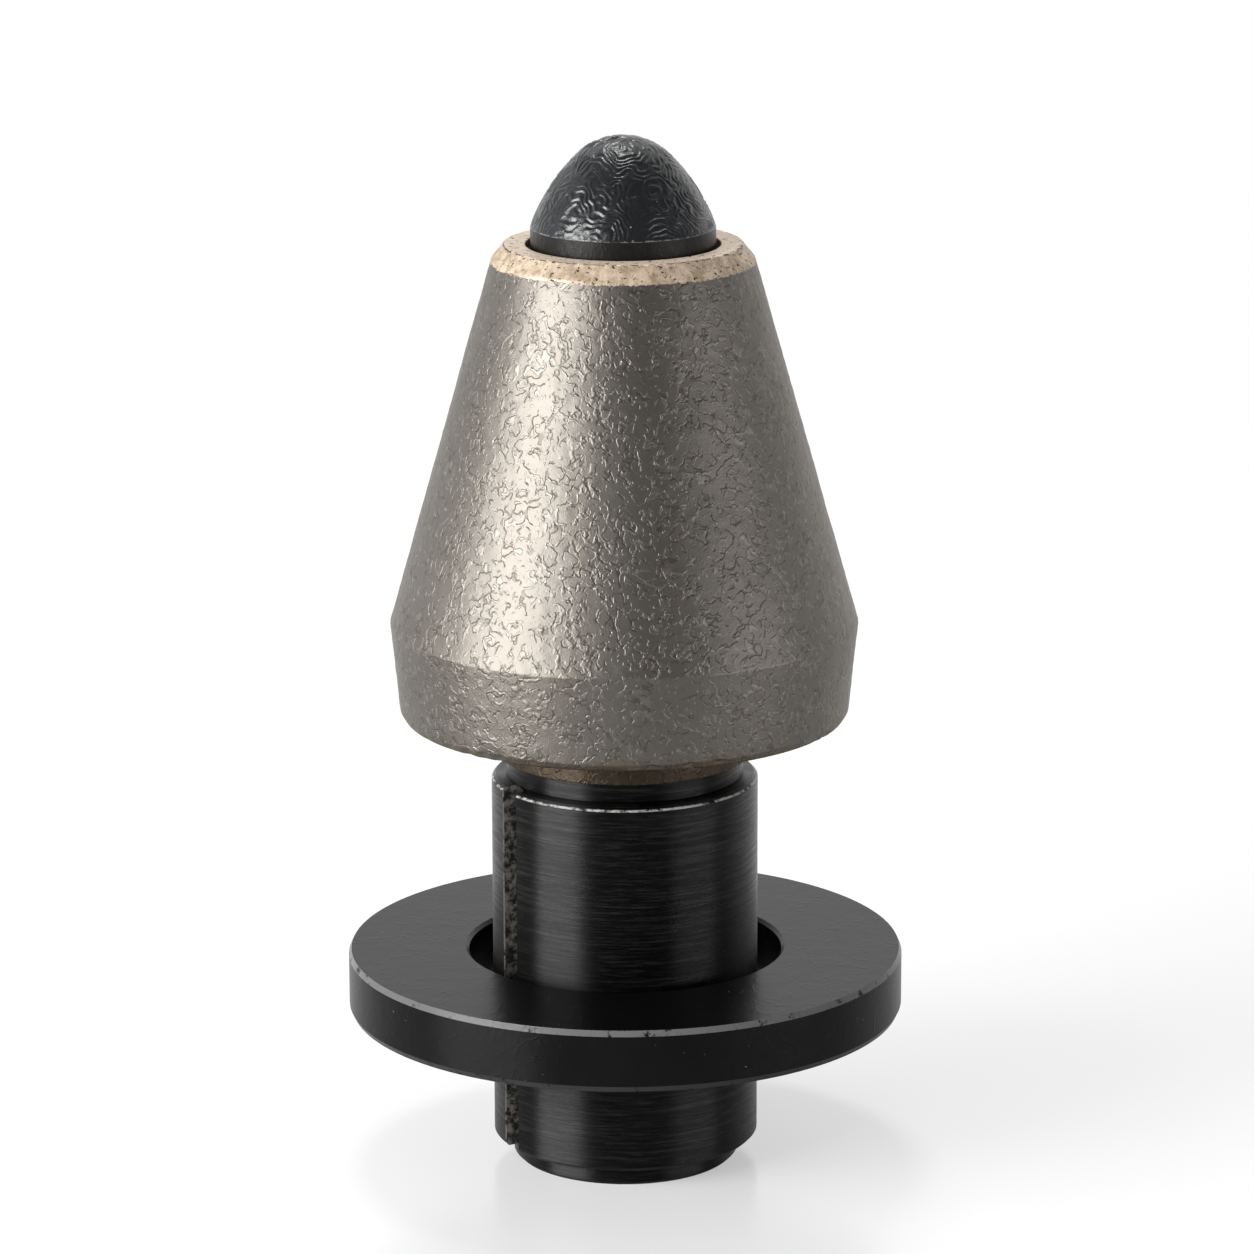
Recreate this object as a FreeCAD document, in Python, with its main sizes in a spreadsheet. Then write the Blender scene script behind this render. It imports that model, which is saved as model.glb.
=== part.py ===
"""Rotary road milling pick with a diamond tip, a clamping sleeve and a wear washer.

The pick stands on the flat end of its shank.  Every piece is turned about +Z, so each one
is a revolved outline of (radius, height) corners in its own frame, placed on the stack from
the shank's end upwards.  All lengths are in millimetres.
"""
import FreeCAD, Part
import math
import os
import Sketcher

V = FreeCAD.Vector

doc = FreeCAD.newDocument("milling_pick")

# ---------------------------------------------------------------- driving dimensions
SIZES = {
    # shank, from its lower end upwards
    "end_height": 1.5,            # collar that keeps the sleeve on the shank
    "end_lip": 0.27,              # how far that collar stands out past the sleeve's bore
    "end_chamfer": 0.3,
    "end_play": 0.1,              # axial play of the sleeve between its two collars
    "neck_height": 1.45,
    "neck_lip": 0.63,             # how far the neck stands out past the sleeve's bore
    "stub_diameter": 14.0,        # part of the shank inside the head
    "stub_length": 20.0,
    "stub_chamfer": 0.5,
    "centre_diameter": 3.6,       # turning centre in the shank's end
    "centre_pilot": 1.6,
    "centre_depth": 4.5,
    # clamping sleeve, as the washer holds it
    "sleeve_diameter": 19.8,
    "sleeve_wall": 1.75,
    "sleeve_length": 28.0,
    "sleeve_chamfer": 0.3,
    "sleeve_bore_chamfer": 0.45,
    "running_gap": 0.05,          # radial clearance of what turns or slides on the next piece
    "slit_width": 2.0,
    "slit_angle": -59.6,          # turn of the slit from the front, about +Z, in degrees
    # wear washer
    "washer_diameter": 41.4,
    "washer_thickness": 4.6,
    "washer_height": 11.6,        # underside of the washer above the shank's end
    "washer_edge_width": 0.2,
    "washer_edge_height": 0.42,
    "recess_diameter": 23.4,      # centring recess in the upper face
    "recess_depth": 2.6,
    "recess_lip": 0.25,
    "washer_bore_chamfer": 0.3,
    # head
    "boss_diameter": 18.65,
    "boss_height": 3.08,
    "boss_root": 0.6,             # slope between the boss and the head's underside
    "head_diameter": 34.5,
    "collar_height": 7.0,
    "collar_taper": 0.65,         # draft of the collar, measured on its radius
    "foot_width": 0.3,            # chamfer around the underside
    "foot_height": 0.5,
    "cone_height": 27.1,
    "rim_diameter": 19.2,
    "rim_chamfer_width": 0.88,
    "rim_chamfer_height": 1.09,
    "socket_relief": 1.0,         # room above the stub in the head's socket
    "joint_film": 0.03,           # brazing film around the stub
    # tip
    "tip_diameter": 13.5,
    "tip_standout": 1.23,         # bare substrate above the rim
    "pocket_depth": 5.0,
    "braze_gap": 0.36,
    "braze_floor": 0.2,
    "braze_setback": 0.6,         # open part of the gap between substrate and pocket
    "cap_height": 6.65,
    "nose_radius": 4.9,
    "nose_angle": 45.85,          # where the nose runs into the flank, in degrees off the axis
    "seat_rise": 1.5,             # conical seat of the cap on the substrate
    "seat_diameter": 8.4,         # flat top of that seat
}

sheet = doc.addObject("Spreadsheet::Sheet", "size")
for row, (name, value) in enumerate(SIZES.items(), start=1):
    sheet.set(f"A{row}", name)
    sheet.set(f"B{row}", str(value))
    sheet.setAlias(f"B{row}", name)
doc.recompute()


def half(name):
    """Radius that belongs to a diameter on the sheet."""
    return f"size.{name} / 2"


# Radii and heights that several pieces share, as expressions on the sheet.
SLEEVE_BORE = "(size.sleeve_diameter / 2 - size.sleeve_wall)"
SLEEVE_FOOT = "(size.end_height + size.end_play)"
NECK_FOOT = f"({SLEEVE_FOOT} + size.sleeve_length + size.end_play)"
NECK_TOP = f"({NECK_FOOT} + size.neck_height)"
COLLAR_TOP = "(size.boss_height + size.collar_height)"
CONE_TOP = f"({COLLAR_TOP} + size.cone_height)"
HEAD_TOP = f"({CONE_TOP} + size.rim_chamfer_height)"
POCKET_RADIUS = "(size.tip_diameter / 2 + size.braze_gap)"
POCKET_FLOOR = f"({HEAD_TOP} - size.pocket_depth)"
SUBSTRATE_HEIGHT = "(size.pocket_depth - size.braze_floor + size.tip_standout)"

# The cap's nose arc ends at nose_angle, and the flank arc runs on from there, tangent to it,
# to the cap's edge: NOSE_CENTRE is the nose's centre above that edge, and NOSE_REACH is the
# distance from it to the edge, measured along the nose's last radius.
NOSE_CENTRE = "(size.cap_height - size.nose_radius)"
NOSE_REACH = f"(size.tip_diameter / 2 * sin(size.nose_angle) - {NOSE_CENTRE} * cos(size.nose_angle))"
FLANK_RADIUS = (
    f"((size.tip_diameter ^ 2 / 4 + {NOSE_CENTRE} ^ 2 + size.nose_radius ^ 2"
    f" - 2 * size.nose_radius * {NOSE_REACH}) / (2 * (size.nose_radius - {NOSE_REACH})))"
)


def value_of(expression):
    """Number that an expression on the sheet gives now."""
    result = sheet.evalExpression(expression.replace("size.", ""))
    return float(getattr(result, "Value", result))


# ---------------------------------------------------------------- sketches and features
def origin_plane(body, role):
    for feature in body.Origin.OriginFeatures:
        if feature.Role == role:
            return feature
    raise RuntimeError(f"{body.Label} has no {role}")


def new_body(label):
    body = doc.addObject("PartDesign::Body", label)
    body.Label = label
    return body


def pin_down(sketch, curve, end, corner):
    """Hold the end of a curve at a corner: two expressions, or 0 on an axis of the sketch."""
    horizontal, vertical = -1, -2     # the sketch's own axes, as the sketcher numbers them
    for kind, axis, expression in (
        ("DistanceX", vertical, corner[0]),
        ("DistanceY", horizontal, corner[1]),
    ):
        if expression == "0":
            sketch.addConstraint(Sketcher.Constraint("PointOnObject", curve, end, axis))
            continue
        value = value_of(expression)
        constraint = Sketcher.Constraint(kind, horizontal, 1, curve, end, value)
        index = sketch.addConstraint(constraint)
        sketch.setExpression(f"Constraints[{index}]", expression)


def arc_between(start, stop, radius, bulge):
    """Arc of the given radius from start to stop; bulge is +1 for a centre to the right."""
    middle = (start + stop) * 0.5
    chord = stop - start
    offset = math.sqrt(max(radius ** 2 - chord.Length ** 2 / 4, 0.0))
    across = V(chord.y, -chord.x, 0).normalize()
    centre = middle + across * (offset * bulge)
    first = math.atan2(start.y - centre.y, start.x - centre.x)
    last = math.atan2(stop.y - centre.y, stop.x - centre.x)
    if bulge > 0:
        first, last = last, first
    return Part.ArcOfCircle(Part.Circle(centre, V(0, 0, 1), radius), first, last)


def closed_outline(body, name, corners, arcs=None, plane="XZ_Plane"):
    """Sketch a closed outline through the corners, each a pair of expressions.

    arcs maps the number of a side to (radius expression, bulge).
    """
    arcs = arcs or {}
    sketch = body.newObject("Sketcher::SketchObject", name)
    sketch.AttachmentSupport = [(origin_plane(body, plane), "")]
    sketch.MapMode = "FlatFace"
    points = [V(value_of(corner[0]), value_of(corner[1]), 0) for corner in corners]
    ends = []
    for side, start in enumerate(points):
        stop = points[(side + 1) % len(points)]
        if side in arcs:
            radius, bulge = arcs[side]
            curve = sketch.addGeometry(arc_between(start, stop, value_of(radius), bulge), False)
            first, last = (2, 1) if bulge > 0 else (1, 2)
        else:
            curve = sketch.addGeometry(Part.LineSegment(start, stop), False)
            first, last = 1, 2
        ends.append((curve, first, last))
    for side, (curve, first, last) in enumerate(ends):
        following, following_first, _ = ends[(side + 1) % len(ends)]
        joint = Sketcher.Constraint("Coincident", curve, last, following, following_first)
        sketch.addConstraint(joint)
        pin_down(sketch, curve, first, corners[side])
        if side in arcs:
            radius = arcs[side][0]
            index = sketch.addConstraint(Sketcher.Constraint("Radius", curve, value_of(radius)))
            sketch.setExpression(f"Constraints[{index}]", radius)
    return sketch


def turn(body, corners, arcs=None):
    """Revolve an outline about the body's Z axis."""
    sketch = closed_outline(body, f"{body.Label}_outline", corners, arcs)
    feature = body.newObject("PartDesign::Revolution", f"{body.Label}_turned")
    feature.Profile = sketch
    feature.ReferenceAxis = (sketch, ["V_Axis"])
    feature.Angle = 360.0
    doc.recompute()
    return feature


def bore_out(body, name, corners):
    """Cut a revolved outline out of the body."""
    before = body.Shape.Volume
    sketch = closed_outline(body, f"{name}_outline", corners)
    feature = body.newObject("PartDesign::Groove", name)
    feature.Profile = sketch
    feature.ReferenceAxis = (sketch, ["V_Axis"])
    feature.Angle = 360.0
    doc.recompute()
    if not body.Shape.Volume < before:
        raise RuntimeError(f"{name} cuts nothing")
    return feature


def lift(body, height):
    body.setExpression(".Placement.Base.z", height)


# ---------------------------------------------------------------- shank
def make_shank():
    """Turned shank: retaining end, journal, neck and the stub that goes up into the head."""
    end = f"{SLEEVE_BORE} + size.end_lip"
    journal = f"{SLEEVE_BORE} - size.running_gap"
    neck = f"{SLEEVE_BORE} + size.neck_lip"
    stub_top = f"{NECK_TOP} + size.stub_length"
    body = new_body("shank")
    turn(body, [
        ("0", "0"),
        (f"{end} - size.end_chamfer", "0"),
        (end, "size.end_chamfer"),
        (end, "size.end_height"),
        (journal, "size.end_height"),
        (journal, NECK_FOOT),
        (neck, NECK_FOOT),
        (neck, NECK_TOP),
        (half("stub_diameter"), NECK_TOP),
        (half("stub_diameter"), f"{stub_top} - size.stub_chamfer"),
        (f"{half('stub_diameter')} - size.stub_chamfer", stub_top),
        ("0", stub_top),
    ])
    countersink = f"({half('centre_diameter')} - {half('centre_pilot')}) / tan(30)"
    bore_out(body, "turning_centre", [
        ("0", "0"),
        (half("centre_diameter"), "0"),
        (half("centre_pilot"), countersink),
        (half("centre_pilot"), "size.centre_depth"),
        ("0", "size.centre_depth"),
    ])
    return body


# ---------------------------------------------------------------- clamping sleeve
def make_clamping_sleeve():
    """Spring-steel tube, slit along its whole length, with chamfered ends."""
    outside = half("sleeve_diameter")
    mouth = f"{SLEEVE_BORE} + size.sleeve_bore_chamfer"
    body = new_body("clamping_sleeve")
    turn(body, [
        (mouth, "0"),
        (f"{outside} - size.sleeve_chamfer", "0"),
        (outside, "size.sleeve_chamfer"),
        (outside, "size.sleeve_length - size.sleeve_chamfer"),
        (f"{outside} - size.sleeve_chamfer", "size.sleeve_length"),
        (mouth, "size.sleeve_length"),
        (SLEEVE_BORE, "size.sleeve_length - size.sleeve_bore_chamfer"),
        (SLEEVE_BORE, "size.sleeve_bore_chamfer"),
    ])
    before = body.Shape.Volume
    edge = "size.slit_width / 2"
    sketch = closed_outline(body, "slit_outline", [
        (f"-{edge}", "0"),
        (f"-{edge}", "-size.sleeve_diameter"),
        (edge, "-size.sleeve_diameter"),
        (edge, "0"),
    ], plane="XY_Plane")
    slit = body.newObject("PartDesign::Pocket", "slit")
    slit.Profile = sketch
    slit.Type = "ThroughAll"
    slit.Reversed = True
    doc.recompute()
    if not body.Shape.Volume < before:
        raise RuntimeError("the slit cuts nothing")
    body.Placement = FreeCAD.Placement(V(0, 0, 0), FreeCAD.Rotation(V(0, 0, 1), SIZES["slit_angle"]))
    body.setExpression(".Placement.Rotation.Angle", "size.slit_angle")
    lift(body, SLEEVE_FOOT)
    return body


# ---------------------------------------------------------------- wear washer
def make_wear_washer():
    """Thick washer with a bore that holds the sleeve closed and a centring recess on top."""
    outside = half("washer_diameter")
    bore = f"({half('sleeve_diameter')} + size.running_gap)"
    recess = half("recess_diameter")
    floor = "size.washer_thickness - size.recess_depth"
    body = new_body("wear_washer")
    turn(body, [
        (f"{bore} + size.washer_bore_chamfer", "0"),
        (f"{outside} - size.washer_edge_width", "0"),
        (outside, "size.washer_edge_height"),
        (outside, "size.washer_thickness - size.washer_edge_height"),
        (f"{outside} - size.washer_edge_width", "size.washer_thickness"),
        (f"{recess} + size.recess_lip", "size.washer_thickness"),
        (recess, "size.washer_thickness - size.recess_lip"),
        (recess, floor),
        (bore, floor),
        (bore, "size.washer_bore_chamfer"),
    ])
    lift(body, "size.washer_height")
    return body


# ---------------------------------------------------------------- head
def make_head_casting():
    """Cast head: boss, flat underside, drafted collar, cone and chamfered rim."""
    boss = half("boss_diameter")
    crease = half("head_diameter")
    foot = f"{crease} - size.collar_taper"
    rim = half("rim_diameter")
    body = new_body("head_casting")
    turn(body, [
        ("0", "0"),
        (boss, "0"),
        (boss, "size.boss_height - size.boss_root"),
        (f"{boss} + size.boss_root", "size.boss_height"),
        (f"{foot} - size.foot_width", "size.boss_height"),
        (foot, "size.boss_height + size.foot_height"),
        (crease, COLLAR_TOP),
        (rim, CONE_TOP),
        (f"{rim} - size.rim_chamfer_width", HEAD_TOP),
        ("0", HEAD_TOP),
    ])
    bore_out(body, "tip_pocket", [
        ("0", HEAD_TOP),
        (POCKET_RADIUS, HEAD_TOP),
        (POCKET_RADIUS, POCKET_FLOOR),
        ("0", POCKET_FLOOR),
    ])
    socket = f"({half('stub_diameter')} + size.joint_film)"
    socket_top = "(size.stub_length + size.socket_relief)"
    bore_out(body, "shank_socket", [
        ("0", "0"),
        (socket, "0"),
        (socket, socket_top),
        ("0", socket_top),
    ])
    lift(body, NECK_TOP)
    return body


# ---------------------------------------------------------------- tip
def make_tip_braze():
    """Cup of braze that fills the pocket's floor and most of the gap around the substrate."""
    inside = half("tip_diameter")
    top = "size.pocket_depth - size.braze_setback"
    body = new_body("tip_braze")
    turn(body, [
        ("0", "0"),
        (POCKET_RADIUS, "0"),
        (POCKET_RADIUS, top),
        (inside, top),
        (inside, "size.braze_floor"),
        ("0", "size.braze_floor"),
    ])
    lift(body, f"{NECK_TOP} + {POCKET_FLOOR}")
    return body


def make_carbide_substrate():
    """Short carbide cylinder with a conical seat for the diamond on top."""
    outside = half("tip_diameter")
    body = new_body("carbide_substrate")
    turn(body, [
        ("0", "0"),
        (outside, "0"),
        (outside, SUBSTRATE_HEIGHT),
        (half("seat_diameter"), f"{SUBSTRATE_HEIGHT} + size.seat_rise"),
        ("0", f"{SUBSTRATE_HEIGHT} + size.seat_rise"),
    ])
    lift(body, f"{NECK_TOP} + {POCKET_FLOOR} + size.braze_floor")
    return body


def make_diamond_cap():
    """Domed diamond cap: round nose, gently curved flank, hollow to fit the substrate."""
    body = new_body("diamond_cap")
    turn(body, [
        (half("tip_diameter"), "0"),
        (
            "size.nose_radius * sin(size.nose_angle)",
            f"{NOSE_CENTRE} + size.nose_radius * cos(size.nose_angle)",
        ),
        ("0", "size.cap_height"),
        ("0", "size.seat_rise"),
        (half("seat_diameter"), "size.seat_rise"),
    ], arcs={0: (FLANK_RADIUS, -1), 1: ("size.nose_radius", -1)})
    lift(body, f"{NECK_TOP} + {HEAD_TOP} + size.tip_standout")
    return body


# ---------------------------------------------------------------- the whole pick
subparts = [
    make_shank(),
    make_clamping_sleeve(),
    make_wear_washer(),
    make_head_casting(),
    make_tip_braze(),
    make_carbide_substrate(),
    make_diamond_cap(),
]
doc.recompute()

for item in doc.Objects:
    if "Invalid" in item.State or "Error" in item.State:
        raise RuntimeError(f"{item.Label} is {item.State}")
for body in subparts:
    if body.Shape.isNull() or not body.Shape.isValid() or len(body.Shape.Solids) != 1:
        raise RuntimeError(f"{body.Label} is not one valid solid")

os.makedirs("parts", exist_ok=True)
for body in subparts:
    body.Shape.exportStep(f"parts/{body.Label}.step")
    box = body.Shape.BoundBox
    print(f"{body.Label}: volume {body.Shape.Volume:.1f}, z {box.ZMin:.2f} to {box.ZMax:.2f}")
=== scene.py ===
"""Looks of the road milling pick: cast and ground surfaces, turned black steel, studio and camera.

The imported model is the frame.  The head and the diamond cap are turned again from the outlines
of their own solids, as dense meshes whose skin carries the real relief; the other pieces keep
their solids and get their finish here.  Lengths named in millimetres are multiplied by MM.
"""
import math
import random

import bmesh
import bpy
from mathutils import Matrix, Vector, noise


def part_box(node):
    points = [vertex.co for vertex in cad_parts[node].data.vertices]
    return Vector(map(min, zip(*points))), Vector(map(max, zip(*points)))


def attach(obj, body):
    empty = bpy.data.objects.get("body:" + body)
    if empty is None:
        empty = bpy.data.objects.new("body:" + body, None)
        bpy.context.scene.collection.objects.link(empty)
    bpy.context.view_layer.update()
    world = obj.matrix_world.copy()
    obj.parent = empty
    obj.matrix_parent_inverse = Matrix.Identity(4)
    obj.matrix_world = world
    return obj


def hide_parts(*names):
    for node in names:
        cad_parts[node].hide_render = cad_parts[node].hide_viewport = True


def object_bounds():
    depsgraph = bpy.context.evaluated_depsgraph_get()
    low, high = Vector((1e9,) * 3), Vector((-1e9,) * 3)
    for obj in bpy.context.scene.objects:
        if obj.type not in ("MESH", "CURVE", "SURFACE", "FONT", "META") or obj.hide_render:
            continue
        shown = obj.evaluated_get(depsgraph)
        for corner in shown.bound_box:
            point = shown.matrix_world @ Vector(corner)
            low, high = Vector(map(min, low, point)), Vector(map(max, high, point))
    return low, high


MM = 0.001
NOISE_SEED = 1           # keeps noise_vector the same each run; unseeded, it follows the clock

noise.seed_set(NOISE_SEED)
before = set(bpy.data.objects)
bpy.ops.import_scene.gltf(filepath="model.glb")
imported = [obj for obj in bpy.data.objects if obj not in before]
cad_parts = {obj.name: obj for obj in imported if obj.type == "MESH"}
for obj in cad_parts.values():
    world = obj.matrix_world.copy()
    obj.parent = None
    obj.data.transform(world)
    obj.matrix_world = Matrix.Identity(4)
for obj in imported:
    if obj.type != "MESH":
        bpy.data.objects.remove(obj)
cad_low, cad_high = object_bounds()


# ---------------------------------------------------------------- material nodes
def rgba(colour):
    """Colours are triples, or sockets, which pass through."""
    if isinstance(colour, bpy.types.NodeSocket):
        return colour
    return (*colour, 1.0)


class Shader:
    """A material under construction; its calls add nodes and return their output sockets."""

    def __init__(self, name):
        self.material = bpy.data.materials.new(name)
        self.material.use_nodes = True
        self.tree = self.material.node_tree
        self.surface = self.tree.nodes["Principled BSDF"]
        self.coordinates = self.tree.nodes.new("ShaderNodeTexCoord")
        self.place = self.vector("SCALE", self.coordinates.outputs["Object"], scale=1 / MM)
        self.height = self.split(self.place)[2]
        self.spoke = self.vector("MULTIPLY", self.place, (1, 1, 0))
        self.radius = self.vector("LENGTH", self.spoke)

    def put(self, socket, value):
        if isinstance(value, bpy.types.NodeSocket):
            self.tree.links.new(value, socket)
        else:
            socket.default_value = value

    def finish(self, **values):
        """Set sockets of the surface, such as base_color, roughness and specular_ior_level."""
        names = {socket.name.lower().replace(" ", "_"): socket for socket in self.surface.inputs}
        for name, value in values.items():
            self.put(names[name], value)
        return self.material

    def vector(self, operation, first, second=None, third=None, scale=None):
        node = self.tree.nodes.new("ShaderNodeVectorMath")
        node.operation = operation
        self.put(node.inputs[0], first)
        if second is not None:
            self.put(node.inputs[1], second)
        if third is not None:
            self.put(node.inputs[2], third)
        if scale is not None:
            self.put(node.inputs["Scale"], scale)
        scalar = operation in ("DOT_PRODUCT", "LENGTH")
        return node.outputs["Value" if scalar else "Vector"]

    def split(self, vector):
        node = self.tree.nodes.new("ShaderNodeSeparateXYZ")
        self.put(node.inputs[0], vector)
        return node.outputs

    def math(self, operation, first, second=0.0, third=0.0):
        node = self.tree.nodes.new("ShaderNodeMath")
        node.operation = operation
        for socket, value in zip(node.inputs, (first, second, third)):
            self.put(socket, value)
        return node.outputs[0]

    def step(self, value, low, high, start=0.0, end=1.0):
        """Smooth step of value from low to high, between start and end."""
        node = self.tree.nodes.new("ShaderNodeMapRange")
        node.interpolation_type = "SMOOTHSTEP"
        for name, setting in (
            ("Value", value), ("From Min", low), ("From Max", high), ("To Min", start), ("To Max", end),
        ):
            self.put(node.inputs[name], setting)
        return node.outputs[0]

    def stretch(self, factors):
        return self.vector("MULTIPLY", self.place, factors)

    def noise(self, scale, detail=2.0, roughness=0.5, at=None):
        """Noise from 0 to 1; scale counts its cells per millimetre."""
        node = self.tree.nodes.new("ShaderNodeTexNoise")
        self.put(node.inputs["Vector"], self.place if at is None else at)
        for name, setting in (("Scale", scale), ("Detail", detail), ("Roughness", roughness)):
            self.put(node.inputs[name], setting)
        return node.outputs["Fac"]

    def ridge(self, field, level, width):
        """Lines where field crosses the level: 1 on the line, falling to 0 at width away."""
        away = self.math("ABSOLUTE", self.math("SUBTRACT", field, level))
        return self.step(away, 0.0, width, 1.0, 0.0)

    def warp(self, scale, reach):
        """The place shifted by up to half of reach, in millimetres, by noise of that scale."""
        node = self.tree.nodes.new("ShaderNodeTexNoise")
        self.put(node.inputs["Vector"], self.place)
        self.put(node.inputs["Scale"], scale)
        self.put(node.inputs["Detail"], 1.0)
        shift = self.vector("SUBTRACT", node.outputs["Color"], (0.5, 0.5, 0.5))
        return self.vector("MULTIPLY_ADD", shift, (reach, reach, reach), self.place)

    def mix(self, factor, first, second):
        node = self.tree.nodes.new("ShaderNodeMix")
        node.data_type = "RGBA"
        node.clamp_factor = True
        self.put(node.inputs[0], factor)
        self.put(node.inputs[6], rgba(first))
        self.put(node.inputs[7], rgba(second))
        return node.outputs[2]

    def bump(self, height, depth):
        """Relief of the given depth in millimetres where height goes from 0 to 1."""
        node = self.tree.nodes.new("ShaderNodeBump")
        self.put(node.inputs["Height"], height)
        self.put(node.inputs["Distance"], depth * MM)
        return node.outputs[0]


# ---------------------------------------------------------------- materials
head_low, head_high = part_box("head_casting")
cap_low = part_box("diamond_cap")[0]
sleeve_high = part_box("clamping_sleeve")[1]

RIM_BAND = 1.0           # height of the ground rim and its chamfer, in mm
BOSS_BAND = 3.3          # height of the head's boss and underside, below the cast skin, in mm
FOOT_BAND = 3.6          # height up to which the head's foot is worn, in mm
SWIRL_PITCH = 0.36       # distance between the fine ridges on the diamond, in mm
WRINKLES = 5             # wrinkles of the cast skin between the lows and highs of their field


def cast_steel(rim_radius):
    """Warm grey cast skin with wrinkled, grooved relief, a ground tan rim and a worn foot, with painted
    shade and highlights.
    """
    shader = Shader("cast_steel")
    drift = shader.noise(0.12, 3.0, 0.6)
    field = shader.noise(0.55, 2.0, 0.45, at=shader.warp(1.0, 0.8))
    waves = shader.math("COSINE", shader.math("MULTIPLY", field, WRINKLES * 2 * math.pi))
    wrinkles = shader.step(waves, 0.45, 1.0)
    wrinkles = shader.math("MULTIPLY", wrinkles, shader.step(shader.noise(1.0, 2.0), 0.42, 0.56))
    bent = shader.warp(1.3, 0.6)
    grooves_and_shade = shader.ridge(shader.noise(1.2, 1.0, 0.4, at=bent), 0.5, 0.06)
    grooves_and_shade = shader.math("MULTIPLY", grooves_and_shade, shader.step(shader.noise(1.1, 2.0), 0.44, 0.56))
    dashes_and_glints = shader.step(shader.noise(2.8, 1.0, at=shader.stretch((1.4, 1.4, 0.8))), 0.65, 0.75)
    grain = shader.noise(7.0, 2.0, 0.6)
    relief = shader.math("MULTIPLY_ADD", grooves_and_shade, -0.3, shader.math("MULTIPLY", grain, 0.17))
    relief = shader.math("MULTIPLY_ADD", wrinkles, 0.34, relief)
    relief = shader.math("MULTIPLY_ADD", dashes_and_glints, 0.24, relief)

    ragged = shader.math("MULTIPLY_ADD", shader.noise(1.6, 4.0, 0.7), 0.6, shader.height)
    rim_line = head_high.z / MM - RIM_BAND
    rim = shader.step(ragged, rim_line - 0.04, rim_line + 0.04)
    foot_line = head_low.z / MM + FOOT_BAND
    patchy = shader.math("MULTIPLY_ADD", shader.noise(0.45, 4.0, 0.65), -2.2, shader.height)
    foot = shader.step(patchy, foot_line - 1.6, foot_line - 0.8, 1.0, 0.0)
    boss_line = head_low.z / MM + BOSS_BAND
    boss = shader.step(shader.height, boss_line - 0.4, boss_line, 1.0, 0.0)

    grey = shader.mix(drift, (0.155, 0.141, 0.124), (0.215, 0.198, 0.177))
    # painted shade: the grooves are darkened in colour as well as cut in by the bump
    grey = shader.mix(shader.math("MULTIPLY", grooves_and_shade, 0.45), grey, (0.06, 0.052, 0.044))
    # painted highlights: the wrinkles' ridges and the short dashes are lightened in colour as glints
    grey = shader.mix(shader.math("MULTIPLY", wrinkles, 0.15), grey, (0.45, 0.42, 0.38))
    grey = shader.mix(shader.math("MULTIPLY", dashes_and_glints, 0.25), grey, (0.6, 0.57, 0.53))
    flecks = shader.step(shader.noise(1.1, 4.0, 0.7), 0.6, 0.68)
    grey = shader.mix(shader.math("MULTIPLY", flecks, 0.2), grey, (0.3, 0.23, 0.15))

    streaks = shader.noise(1.3, 5.0, 0.75, at=shader.stretch((1, 1, 0.5)))
    tan = shader.mix(shader.step(streaks, 0.32, 0.68), (0.34, 0.25, 0.165), (0.7, 0.565, 0.425))
    wander = shader.math("MULTIPLY_ADD", shader.noise(1.6, 3.0, 0.7), 0.35, shader.radius)
    # painted highlight: the rim's flat top is made lighter than its chamfer, as if lit from above
    level = shader.step(shader.height, head_high.z / MM - 0.06, head_high.z / MM - 0.03)
    tan = shader.mix(shader.math("MULTIPLY", level, 0.5), tan, (1.0, 0.85, 0.68))
    seam = shader.ridge(wander, rim_radius + 0.16, 0.09)
    seam = shader.math("MULTIPLY", seam, shader.step(shader.noise(0.9, 3.0, 0.7), 0.42, 0.5))
    pits = shader.step(shader.noise(2.4, 3.0, 0.65, at=shader.stretch((1, 1, 1.8))), 0.36, 0.39, 1.0, 0.0)
    pits = shader.math("MAXIMUM", pits, seam)
    tan = shader.mix(pits, tan, (0.04, 0.027, 0.017))
    worn = shader.mix(shader.noise(1.5, 3.0, 0.7), (0.06, 0.047, 0.034), (0.3, 0.23, 0.155))
    # painted shade: the boss and the head's underside are darkened, as in the shade under the head
    boss_shade = shader.mix(shader.noise(1.2, 4.0, 0.7), (0.012, 0.01, 0.008), (0.11, 0.085, 0.06))
    colour = shader.mix(shader.math("MULTIPLY", foot, 0.6), grey, worn)
    colour = shader.mix(boss, colour, boss_shade)
    colour = shader.mix(rim, colour, tan)

    ground = shader.math("MULTIPLY_ADD", pits, -0.6, shader.math("MULTIPLY", streaks, 0.7))
    skin = shader.math("MULTIPLY_ADD", shader.math("SUBTRACT", ground, relief), rim, relief)
    return shader.finish(
        base_color=colour,
        metallic=shader.step(rim, 0.0, 1.0, 1.0, 0.3),
        roughness=shader.step(rim, 0.0, 1.0, 0.48, 0.5),
        normal=shader.bump(skin, 0.07),
    )


def polished_diamond():
    """Near-black bluish gloss with a few painted glints and a chipped edge."""
    shader = Shader("polished_diamond")
    fine = shader.noise(4.0, 2.0)
    # painted highlights: sparse bright specks stand in for glints on the diamond
    painted_glints = shader.step(shader.noise(5.0, 1.0), 0.76, 0.8)
    ragged = shader.math("MULTIPLY_ADD", shader.noise(2.2, 4.0, 0.75), -0.7, shader.height)
    edge_line = cap_low.z / MM
    chips = shader.step(ragged, edge_line - 0.34, edge_line - 0.28, 1.0, 0.0)
    colour = shader.mix(shader.noise(0.5, 3.0), (0.003, 0.004, 0.005), (0.01, 0.012, 0.015))
    colour = shader.mix(painted_glints, colour, (0.25, 0.25, 0.25))
    colour = shader.mix(shader.math("MULTIPLY", chips, 0.7), colour, (0.2, 0.2, 0.2))
    return shader.finish(
        base_color=colour, roughness=0.3, specular_ior_level=0.75, normal=shader.bump(fine, 0.02),
    )


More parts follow.
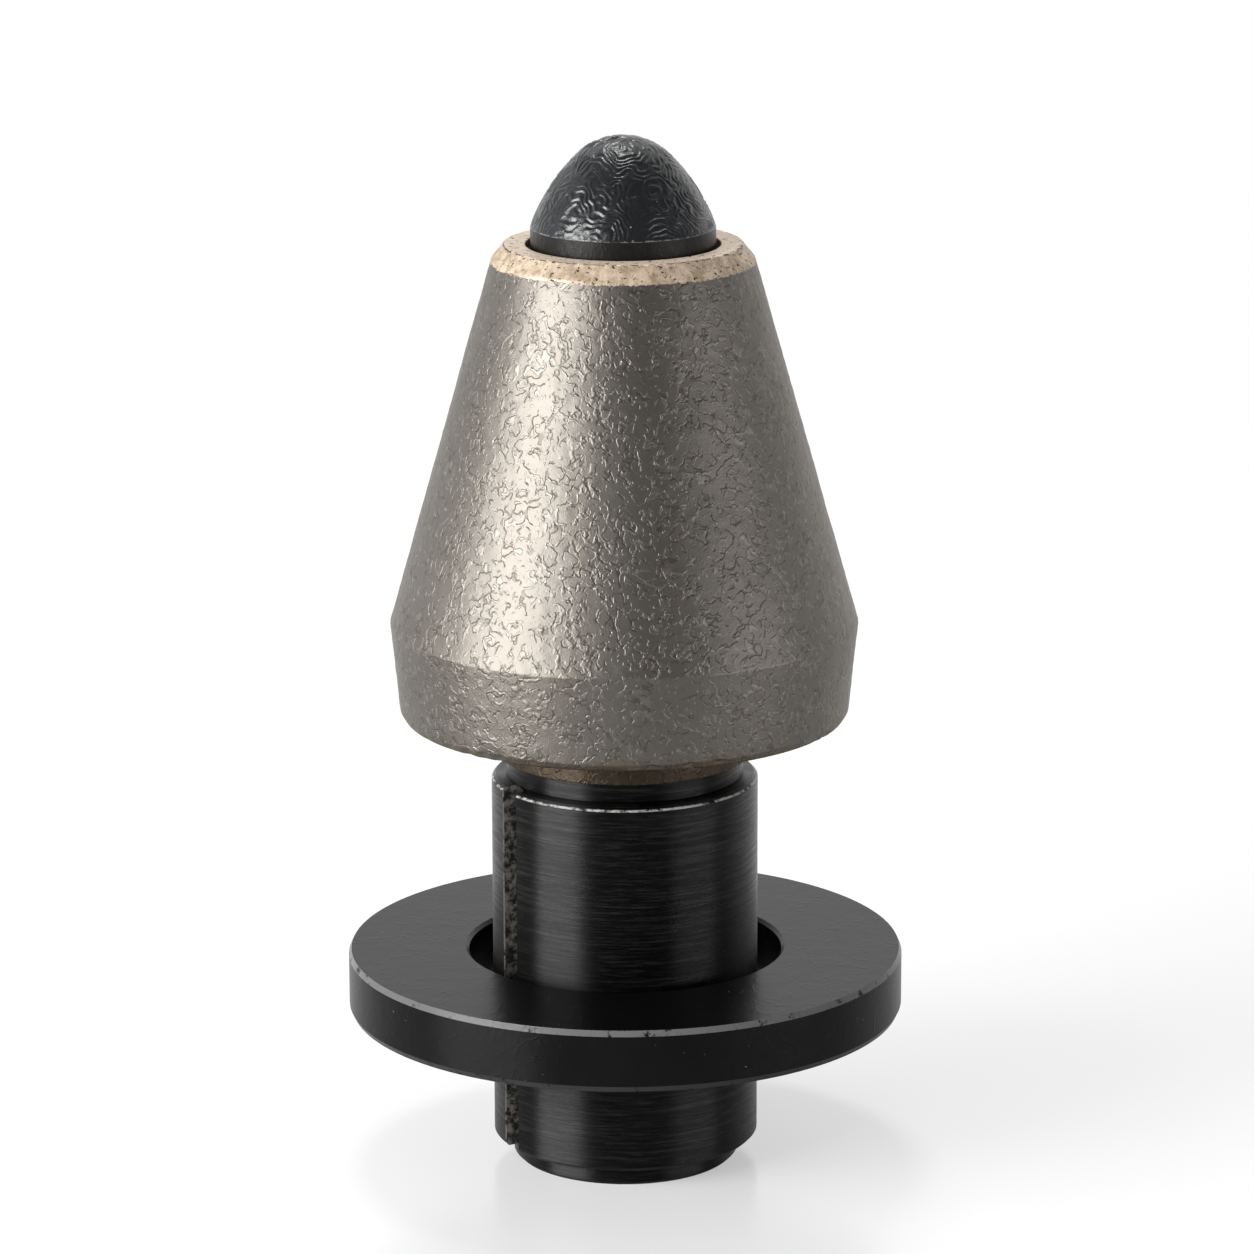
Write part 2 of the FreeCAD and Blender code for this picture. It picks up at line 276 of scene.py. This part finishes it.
def ground_carbide():
    """Satin black band under the cap, with faint streaks."""
    shader = Shader("ground_carbide")
    streaks = shader.noise(2.2, 4.0, 0.7, at=shader.stretch((1, 1, 0.5)))
    colour = shader.mix(streaks, (0.004, 0.004, 0.004), (0.014, 0.0135, 0.0125))
    return shader.finish(
        base_color=colour, roughness=0.34, specular_ior_level=0.2,
        normal=shader.bump(streaks, 0.06),
    )


def dull_braze():
    shader = Shader("dull_braze")
    mottle = shader.noise(1.5, 3.0)
    colour = shader.mix(mottle, (0.008, 0.006, 0.004), (0.04, 0.03, 0.02))
    return shader.finish(base_color=colour, metallic=0.6, roughness=0.6, normal=shader.bump(mottle, 0.05))


def turned_black(name):
    """Black oxide on turned steel, with brush lines that run round the piece."""
    shader = Shader(name)
    long_lines = shader.noise(1.0, 3.0, 0.6, at=shader.stretch((0.1, 0.1, 4.0)))
    short_lines = shader.noise(1.0, 3.0, 0.7, at=shader.stretch((0.5, 0.5, 9.0)))
    lines = shader.math("MULTIPLY_ADD", short_lines, 0.8, shader.math("MULTIPLY", long_lines, 0.7))
    bright = shader.step(lines, 0.7, 0.95)
    colour = shader.mix(bright, (0.001, 0.001, 0.001), (0.012, 0.012, 0.0115))
    tangent = shader.tree.nodes.new("ShaderNodeTangent")
    tangent.direction_type = "RADIAL"
    tangent.axis = "Z"
    shader.finish(
        base_color=colour, roughness=shader.step(lines, 0.6, 1.0, 0.46, 0.28), anisotropic=0.95,
        anisotropic_rotation=0.25, specular_ior_level=0.26, tangent=tangent.outputs[0],
        normal=shader.bump(lines, 0.02),
    )
    return shader, colour


def sleeve_black():
    """The sleeve's finish: brushed black, painted highlights along the upper outer edge and on the slit's
    lips, and rough bare faces in the slit.
    """
    shader, colour = turned_black("sleeve_black")
    outside, top = sleeve_high.x / MM, sleeve_high.z / MM
    # painted highlight: a light, broken line along the outer edge of the sleeve's upper chamfer
    edge = shader.math("MULTIPLY_ADD", shader.noise(2.0, 3.0, 0.7), 0.12, shader.radius)
    edge = shader.step(edge, outside - 0.1, outside - 0.02)
    edge = shader.math("MULTIPLY", edge, shader.step(shader.height, top - 0.34, top - 0.28))
    edge = shader.math("MULTIPLY", edge, shader.step(shader.noise(0.7, 5.0, 0.8), 0.42, 0.56))
    colour = shader.mix(edge, colour, (0.5, 0.49, 0.47))
    normal = shader.coordinates.outputs["Normal"]
    facing = shader.vector("DOT_PRODUCT", shader.vector("NORMALIZE", shader.spoke), normal)
    upward = shader.split(normal)[2]
    sideways = shader.math("MAXIMUM", shader.math("ABSOLUTE", facing), shader.math("ABSOLUTE", upward))
    slit_face = shader.step(sideways, 0.3, 0.4, 1.0, 0.0)
    marks = shader.step(shader.noise(1.6, 5.0, 0.75), 0.42, 0.62)
    bare = shader.mix(marks, (0.03, 0.028, 0.025), (0.3, 0.28, 0.26))
    # painted highlight: the outer lip of each slit face is lightened, broken by noise
    lip_highlight = shader.step(shader.radius, outside - 0.16, outside - 0.06)
    lip_highlight = shader.math("MULTIPLY", lip_highlight, shader.step(shader.noise(1.1, 4.0, 0.75), 0.38, 0.5))
    bare = shader.mix(lip_highlight, bare, (0.55, 0.54, 0.52))
    return shader.finish(base_color=shader.mix(slit_face, colour, bare))


def shank_black():
    return turned_black("shank_black")[0].material


def washer_black():
    """Satin black oxide over a faintly scratched face, with painted glints, and a nicked painted
    highlight on the chamfers.
    """
    shader = Shader("washer_black")
    bent = shader.warp(0.5, 1.4)
    strokes = shader.ridge(shader.noise(0.45, 1.0, at=bent), 0.5, 0.035)
    strokes = shader.math("MULTIPLY", strokes, shader.step(shader.noise(0.45, 2.0), 0.42, 0.6))
    fine = shader.ridge(shader.noise(0.9, 1.0, at=bent), 0.5, 0.05)
    fine = shader.math("MULTIPLY", fine, shader.step(shader.noise(0.6, 1.0), 0.48, 0.62))
    relief = shader.math("MULTIPLY_ADD", strokes, 0.4, shader.noise(0.4, 2.0, 0.5))
    relief = shader.math("MULTIPLY_ADD", fine, 0.25, relief)
    colour = shader.mix(shader.noise(0.3, 4.0), (0.002, 0.002, 0.002), (0.005, 0.005, 0.005))
    # painted highlights: sparse bright specks stand in for glints on the washer
    painted_glints = shader.step(shader.noise(3.0, 1.0), 0.79, 0.82)
    colour = shader.mix(painted_glints, colour, (0.16, 0.16, 0.16))
    upward = shader.split(shader.coordinates.outputs["Normal"])[2]
    slope = shader.math("ABSOLUTE", upward)
    chamfer = shader.step(slope, 0.3, 0.38)
    chamfer = shader.math("MULTIPLY", chamfer, shader.step(slope, 0.6, 0.68, 1.0, 0.0))
    nicks = shader.step(shader.noise(0.9, 5.0, 0.8), 0.36, 0.46)
    # painted highlight on the chamfers, lighter on those that face up than on those that face down,
    # broken by nicks
    chamfer_sheen = shader.mix(shader.step(upward, -0.1, 0.1), (0.035, 0.035, 0.035), (0.13, 0.13, 0.13))
    colour = shader.mix(shader.math("MULTIPLY", chamfer, nicks), colour, chamfer_sheen)
    return shader.finish(
        base_color=colour, roughness=0.28, specular_ior_level=0.14, normal=shader.bump(relief, 0.02),
    )


def dress(node, material):
    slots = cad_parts[node].data.materials
    slots.clear()
    slots.append(material)


# ---------------------------------------------------------------- turned pieces with real relief
HEAD_COLUMNS = 400       # mesh columns round the head
CAP_COLUMNS = 420        # mesh columns round the diamond cap
SKIN_SPACING = 0.215     # distance between the rings of the cast skin, in mm
PLAIN_SPACING = 1.5      # the same where the head has no relief
CAP_SPACING = 0.075      # distance between the rings of the cap, in mm
EDGE_RADIUS = 0.06       # reach of the bend at the head's corners, in mm
SMOOTH_RADIUS = 8.0      # radius inside which the head has no relief, in mm
LUMP_DEPTH = 0.03        # depths of the cast skin's lumps, wrinkles and grain, in mm
WORM_DEPTH = 0.018
PEEL_DEPTH = 0.012
SWIRL_DEPTH = 0.036      # depths of the diamond's ridges and of its grain, in mm
SWIRL_GRAIN = 0.012


def chain_of_rings(node):
    """Corners (radius, height) of a turned CAD node in millimetres, in order along its skin.

    Every ring of the node's mesh is one corner, and the mesh's edges say which rings are
    neighbours.  The list starts at the higher of its two ends.
    """
    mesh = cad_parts[node].data
    rings = [
        (round(math.hypot(v.co.x, v.co.y) / MM, 3), round(v.co.z / MM, 3)) for v in mesh.vertices
    ]
    following = {ring: set() for ring in rings}
    for edge in mesh.edges:
        first, second = (rings[index] for index in edge.vertices)
        if first != second:
            following[first].add(second)
            following[second].add(first)
    ends = [ring for ring in following if len(following[ring]) == 1]
    chain = [max(ends, key=lambda ring: ring[1])]
    while True:
        onward = [ring for ring in following[chain[-1]] if ring not in chain]
        if not onward:
            return chain
        chain.append(onward[0])


def straightened(chain, slack=0.004):
    """The chain without the rings that lie on the straight line between their neighbours."""
    kept = [chain[0]]
    for ring, onward in zip(chain[1:], chain[2:]):
        start = Vector(kept[-1])
        line = Vector(onward) - start
        offset = Vector(ring) - start
        if abs(line.x * offset.y - line.y * offset.x) > slack * line.length:
            kept.append(ring)
    return kept + [chain[-1]]


def rounded(corners, radius):
    """The outline with each inner corner bent round, and a guard point on each side of it."""
    points = [Vector(corners[0])]
    for before, corner, after in zip(corners, corners[1:], corners[2:]):
        corner = Vector(corner)
        back = Vector(before) - corner
        ahead = Vector(after) - corner
        back_reach = min(radius, back.length * 0.2) * back.normalized()
        ahead_reach = min(radius, ahead.length * 0.2) * ahead.normalized()
        middle = corner + (back_reach + ahead_reach) / 4
        points += [corner + back_reach * 2, corner + back_reach, middle]
        points += [corner + ahead_reach, corner + ahead_reach * 2]
    return points + [Vector(corners[-1])]


def resampled(points, spacing):
    """The outline with points at most spacing(point) apart."""
    fine = [points[0]]
    for start, end in zip(points, points[1:]):
        count = max(1, math.ceil((end - start).length / spacing((start + end) / 2)))
        fine += [start.lerp(end, index / count) for index in range(1, count + 1)]
    return fine


def turned_piece(name, outline, columns, relief, material):
    """Revolve the outline, in millimetres, and push its skin out by relief(place, height)."""
    tangents = [
        (outline[min(i + 1, len(outline) - 1)] - outline[max(i - 1, 0)]).normalized()
        for i in range(len(outline))
    ]
    vertices = []
    for point, tangent in zip(outline, tangents):
        outward = Vector((-tangent.y, tangent.x))
        for column in range(columns):
            angle = 2 * math.pi * column / columns
            spoke = Vector((math.sin(angle), -math.cos(angle), 0))
            place = spoke * point.x + Vector((0, 0, point.y))
            direction = spoke * outward.x + Vector((0, 0, outward.y))
            vertices.append((place + direction * relief(place)) * MM)
    faces = []
    for row in range(len(outline) - 1):
        for column in range(columns):
            following = (column + 1) % columns
            faces.append((
                row * columns + column, row * columns + following,
                (row + 1) * columns + following, (row + 1) * columns + column,
            ))
    for row, flip in ((0, -1), (len(outline) - 1, 1)):
        if outline[row].x > 0:
            ring = [row * columns + column for column in range(columns)]
            faces.append(tuple(ring[::flip]))
    mesh = bpy.data.meshes.new(name)
    mesh.from_pydata(vertices, [], faces)
    mesh.materials.append(material)
    piece = bpy.data.objects.new(name, mesh)
    bpy.context.scene.collection.objects.link(piece)
    weld(mesh)
    mesh.shade_smooth()
    return piece


def weld(mesh):
    """Merge the points that lie together on the axis and turn all faces outward."""
    work = bmesh.new()
    work.from_mesh(mesh)
    bmesh.ops.remove_doubles(work, verts=work.verts, dist=1e-7)
    bmesh.ops.recalc_face_normals(work, faces=work.faces)
    work.to_mesh(mesh)
    work.free()


def fade(value, low, high):
    """Smooth step of value, from 0 at low to 1 at high."""
    share = min(max((value - low) / (high - low), 0.0), 1.0)
    return share * share * (3 - 2 * share)


def dents(count, ring_radius, low, high, size, depth, seed):
    """Seeded chips around a ring: (centre, radius, depth) triples in millimetres."""
    chance = random.Random(seed)
    found = []
    for _ in range(count):
        angle = chance.uniform(0, 2 * math.pi)
        centre = Vector((
            ring_radius * math.sin(angle), -ring_radius * math.cos(angle), chance.uniform(low, high),
        ))
        found.append((centre, size * chance.uniform(0.4, 1.0), depth * chance.uniform(0.3, 1.0)))
    return found


def chip_depth(place, chips):
    return sum(
        depth * math.exp(-((place - centre).length / radius) ** 2)
        for centre, radius, depth in chips
        if (place - centre).length < 2 * radius
    )


def make_head():
    """The head with its cast skin: low lumps, worm-like ridges, chips on the foot and the rim."""
    corners = straightened(chain_of_rings("head_casting"))
    low, high = head_low.z / MM, head_high.z / MM
    rim_radius = max(radius for radius, height in corners if height > high - 0.01)
    skin_foot = low + BOSS_BAND
    skin_top = high - RIM_BAND - 0.2
    foot_radius = head_high.x / MM - 0.7
    rim_chips_radius = head_high.x / MM * 0.53

    def spacing(point):
        on_skin = point.x > SMOOTH_RADIUS and point.y > skin_foot - 0.5
        return SKIN_SPACING if on_skin else PLAIN_SPACING

    outline = resampled(rounded(corners, EDGE_RADIUS), spacing)
    chips = dents(26, foot_radius, skin_foot - 0.1, skin_foot + 0.25, 0.5, 0.16, seed=4)
    chips += dents(22, rim_chips_radius, skin_top - 0.1, skin_top + 0.8, 0.35, 0.12, seed=9)

    def relief(place):
        radius = math.hypot(place.x, place.y)
        if radius < SMOOTH_RADIUS or place.z < skin_foot - 0.6:
            return 0.0
        cast = fade(place.z, skin_foot - 0.2, skin_foot + 0.6)
        cast *= 1 - fade(place.z, skin_top - 0.3, skin_top + 0.1)
        if cast == 0:
            return -chip_depth(place, chips)
        lumps = noise.noise(place * 0.25) * LUMP_DEPTH
        wrinkle = abs(noise.noise(place * 0.7 + noise.noise_vector(place * 0.9) * 0.4))
        worms = math.exp(-(wrinkle / 0.1) ** 2) * WORM_DEPTH
        peel = noise.noise(place * 1.6) * PEEL_DEPTH
        return cast * (lumps + worms + peel) - chip_depth(place, chips)

    piece = turned_piece("head_skin", outline, HEAD_COLUMNS, relief, cast_steel(rim_radius))
    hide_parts("head_casting")
    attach(piece, "pick")


def make_cap():
    """The domed cap with its swirled skin and a lightly chipped lower edge."""
    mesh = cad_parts["diamond_cap"].data
    edge = cap_low.z / MM
    dome = {}
    seat = {}
    for vertex in mesh.vertices:
        ring = (round(math.hypot(vertex.co.x, vertex.co.y) / MM, 2), vertex.co.z / MM)
        side = dome if vertex.normal.z > 0 else seat
        side[ring[0]] = ring[1]
    outline = [Vector(ring) for ring in sorted(dome.items())]
    outline += [Vector(ring) for ring in sorted(seat.items(), reverse=True)]

    def relief(place):
        radius = math.hypot(place.x, place.y)
        if place.z < edge + 0.02 or (place.z < edge + 2.0 and radius < 4.5):
            return 0.0
        bent = place + noise.noise_vector(place * 0.7) * 0.5
        whorl = noise.voronoi(bent * 0.24)[0][0] / 0.24 + 0.35 * noise.noise(place * 1.3)
        swirl = math.sin(2 * math.pi * whorl / SWIRL_PITCH)
        strength = 0.5 + 0.5 * fade(noise.noise(place * 0.5), -0.3, 0.4)
        raised = SWIRL_DEPTH * strength * swirl + SWIRL_GRAIN * noise.noise(place * 1.8)
        return fade(place.z, edge, edge + 0.4) * raised

    outline = resampled(outline, lambda point: CAP_SPACING)
    piece = turned_piece("diamond_dome", outline, CAP_COLUMNS, relief, polished_diamond())
    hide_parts("diamond_cap")
    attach(piece, "pick")


# ---------------------------------------------------------------- studio
AMBIENT = 0.38           # grey of the room where it lights the object
DARK_ROOM = 0.12         # grey of the room that shows in metal, on the camera's side
FLOOR_REACH = 2.5        # half the floor's side, in metres
FLOOR_LIFT = 0.44        # own light of the floor that brings its grey to white for the camera
LAMP_DISTANCE = 0.6      # from the object's middle to each lamp, in metres


def aim(item, place, target, roll=0.0):
    """Put a light or camera at place, looking at target."""
    item.location = place
    turn = (Vector(target) - Vector(place)).to_track_quat("-Z", "Y")
    item.rotation_euler = turn.to_euler()
    item.rotation_euler.rotate_axis("Z", roll)


def softbox(name, azimuth, elevation, size, power, target, shape="RECTANGLE"):
    """Area light around the target: azimuth from the front, positive to the right, in degrees."""
    data = bpy.data.lights.new(name, "AREA")
    data.shape = shape
    data.size = size[0]
    data.size_y = size[1]
    data.energy = power
    light = bpy.data.objects.new(name, data)
    bpy.context.scene.collection.objects.link(light)
    side, rise = math.radians(azimuth), math.radians(elevation)
    offset = Vector((
        math.sin(side) * math.cos(rise), -math.cos(side) * math.cos(rise), math.sin(rise),
    ))
    aim(light, Vector(target) + offset * LAMP_DISTANCE, target)


def make_camera():
    data = bpy.data.cameras.new("camera")
    data.lens = 155.5
    data.sensor_width = 36.0
    data.clip_start = 0.01
    camera = bpy.data.objects.new("camera", data)
    bpy.context.scene.collection.objects.link(camera)
    camera.location = (0.0002, -0.38739, 0.14048)
    camera.rotation_euler = (math.radians(90 - 14.45), 0.0, 0.0)
    camera.rotation_euler.rotate_axis("Z", math.radians(-0.16))
    bpy.context.scene.camera = camera


def make_floor():
    """Pale floor that keeps the shadow and shows white to the camera and in reflections."""
    mesh = bpy.data.meshes.new("floor")
    signs = ((-1, -1), (1, -1), (1, 1), (-1, 1))
    corners = [(FLOOR_REACH * x, FLOOR_REACH * y, 0) for x, y in signs]
    mesh.from_pydata(corners, [], [(0, 1, 2, 3)])
    shader = Shader("floor_white")
    shader.finish(base_color=(0.55, 0.55, 0.55, 1.0), roughness=0.2, specular_ior_level=0.35)
    lift = shader.tree.nodes.new("ShaderNodeEmission")
    rays = shader.tree.nodes.new("ShaderNodeLightPath")
    mirrored = shader.math("MAXIMUM", rays.outputs["Is Glossy Ray"], rays.outputs["Is Transmission Ray"])
    depth = shader.split(shader.coordinates.outputs["Object"])[1]
    mirrored = shader.math("MULTIPLY", mirrored, shader.step(depth, -0.05, 0.15))
    seen = shader.math("MAXIMUM", rays.outputs["Is Camera Ray"], mirrored)
    shader.put(lift.inputs["Strength"], shader.math("MULTIPLY", seen, FLOOR_LIFT))
    add = shader.tree.nodes.new("ShaderNodeAddShader")
    shader.put(add.inputs[0], shader.surface.outputs[0])
    shader.put(add.inputs[1], lift.outputs[0])
    shader.put(shader.tree.nodes["Material Output"].inputs["Surface"], add.outputs[0])
    mesh.materials.append(shader.material)
    floor = bpy.data.objects.new("floor", mesh)
    bpy.context.scene.collection.objects.link(floor)


def make_world():
    """White to the camera; metal shows the white backdrop behind the object and a dark room."""
    world = bpy.data.worlds.new("studio")
    bpy.context.scene.world = world
    world.use_nodes = True
    nodes, links = world.node_tree.nodes, world.node_tree.links

    def blend(factor, low, high):
        node = nodes.new("ShaderNodeMapRange")
        for name, value in (("Value", factor), ("To Min", low), ("To Max", high)):
            if isinstance(value, bpy.types.NodeSocket):
                links.new(value, node.inputs[name])
            else:
                node.inputs[name].default_value = value
        return node

    rays = nodes.new("ShaderNodeLightPath").outputs
    direction = nodes.new("ShaderNodeSeparateXYZ")
    links.new(nodes.new("ShaderNodeTexCoord").outputs["Generated"], direction.inputs[0])
    room = blend(direction.outputs["Y"], DARK_ROOM, 1.0)
    room.interpolation_type = "SMOOTHSTEP"
    room.inputs["From Min"].default_value = -0.2
    room.inputs["From Max"].default_value = 0.8
    mirrored = nodes.new("ShaderNodeMath")
    mirrored.operation = "MAXIMUM"
    links.new(rays["Is Glossy Ray"], mirrored.inputs[0])
    links.new(rays["Is Transmission Ray"], mirrored.inputs[1])
    lighting = blend(mirrored.outputs[0], AMBIENT, room.outputs[0])
    seen = blend(rays["Is Camera Ray"], lighting.outputs[0], 1.0)
    links.new(seen.outputs[0], nodes["Background"].inputs["Strength"])
    nodes["Background"].inputs["Color"].default_value = (1.0, 1.0, 1.0, 1.0)


def make_lights():
    target = (cad_low + cad_high) / 2
    softbox("key", -59, 14, (0.44, 0.34), 5.8, target)
    softbox("fill", 62, 4, (0.42, 0.12), 0.75, target)
    softbox("top", -165, 72, (0.13, 0.13), 0.8, target, shape="DISK")


make_head()
make_cap()
dress("carbide_substrate", ground_carbide())
dress("tip_braze", dull_braze())
dress("shank", shank_black())
dress("clamping_sleeve", sleeve_black())
dress("wear_washer", washer_black())
make_floor()
make_world()
make_lights()
make_camera()
bpy.context.scene.view_settings.view_transform = "Standard"
